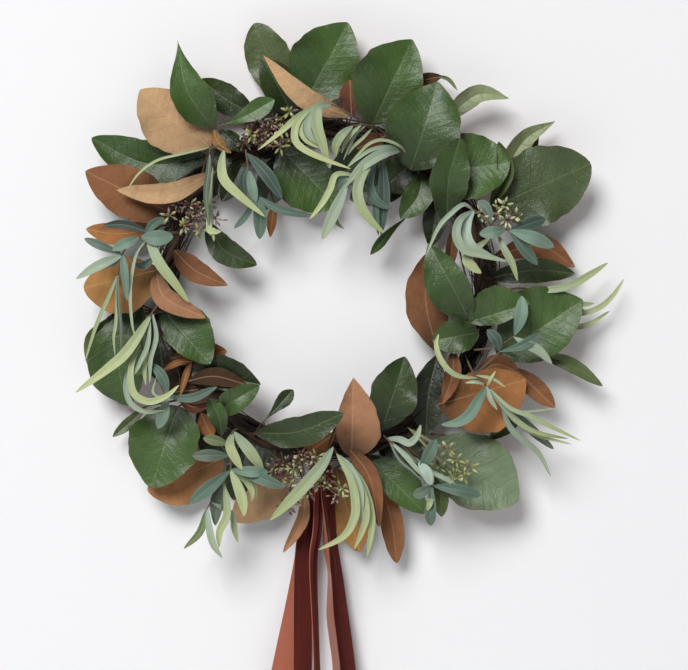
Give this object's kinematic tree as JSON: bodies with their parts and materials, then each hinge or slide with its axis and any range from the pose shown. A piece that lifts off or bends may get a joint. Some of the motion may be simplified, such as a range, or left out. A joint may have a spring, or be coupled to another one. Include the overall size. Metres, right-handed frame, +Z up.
{
  "type": "magnolia wreath",
  "caption": "Hanging wreath: a twisted vine ring dressed with magnolia, willow and teal leaves, seed sprays and a long velvet ribbon.",
  "frame": {"origin": "the point on the underside of the vine ring at its top, where a wall hook carries it", "axes": "+Z up, the ribbon hangs towards -Z; -Y is the front, the wall is on the +Y side; +X is to the right as seen from the front"},
  "size_m": [0.6591, 0.0968, 0.9225],
  "materials": {
    "vine": "rough bark",
    "magnolia_green": "waxy leaf face",
    "magnolia_brown": "suede leaf back",
    "willow_leaf": "matt, blue-green at the root and yellow-green at the tip",
    "teal_leaf": "frosted",
    "seed_buds": "matt, some buds dusty purple",
    "ribbon": "velvet front, copper satin back"
  },
  "bodies": {
    "root": {"vine_ring": "vine", "magnolia_top_left_green": "magnolia_green", "magnolia_top_brown": "magnolia_brown", "magnolia_top_green": "magnolia_green", "magnolia_top_curl": "magnolia_brown", "magnolia_top_inner_brown": "magnolia_brown", "magnolia_upper_right_back": "magnolia_green", "magnolia_upper_right_front": "magnolia_green", "magnolia_right_round": "magnolia_green", "magnolia_right_inner_brown": "magnolia_brown", "magnolia_right_inner_green": "magnolia_green", "magnolia_right_green": "magnolia_green", "magnolia_right_dark": "magnolia_green", "magnolia_right_brown": "magnolia_brown", "magnolia_lower_right_brown": "magnolia_brown", "magnolia_lower_right_inner": "magnolia_green", "magnolia_bottom_pointed": "magnolia_brown", "magnolia_bottom_right_green": "magnolia_green", "magnolia_lower_right_pale": "magnolia_green", "magnolia_bottom_right_brown": "magnolia_brown", "magnolia_bottom_midrib": "magnolia_green", "magnolia_bottom_curled_tip": "magnolia_brown", "magnolia_bottom_left_tan": "magnolia_brown", "magnolia_lower_left_rust": "magnolia_brown", "magnolia_lower_left_green": "magnolia_green", "magnolia_left_green": "magnolia_green", "magnolia_lower_left_inner_brown": "magnolia_brown", "magnolia_lower_left_dark": "magnolia_green", "magnolia_left_brown": "magnolia_brown", "magnolia_left_rust": "magnolia_brown", "magnolia_left_inner_dark": "magnolia_green", "magnolia_upper_left_green": "magnolia_green", "magnolia_upper_left_tan": "magnolia_brown", "magnolia_upper_left_dark": "magnolia_green", "magnolia_top_inner_green": "magnolia_green", "magnolia_upper_left_inner_dark": "magnolia_green", "magnolia_top_inner_tip": "magnolia_brown", "magnolia_upper_right_inner_green": "magnolia_green", "magnolia_upper_right_inner_curl": "magnolia_brown", "sprig_top_left": "willow_leaf", "sprig_top": "willow_leaf", "sprig_upper_left_inner": "teal_leaf", "sprig_left": "teal_leaf", "sprig_left_low": "willow_leaf", "sprig_lower_left": "willow_leaf", "sprig_bottom": "willow_leaf", "sprig_bottom_right": "teal_leaf", "sprig_upper_right": "teal_leaf", "sprig_right_tip": "willow_leaf", "sprig_right": "teal_leaf", "sprig_lower_right": "willow_leaf", "sprig_upper_left": "willow_leaf", "seeds_top_left": "seed_buds", "seeds_left": "seed_buds", "seeds_upper_right": "seed_buds", "seeds_lower_right": "seed_buds", "seeds_bottom": "seed_buds", "velvet_ribbon": "ribbon"}
  },
  "joints": []
}
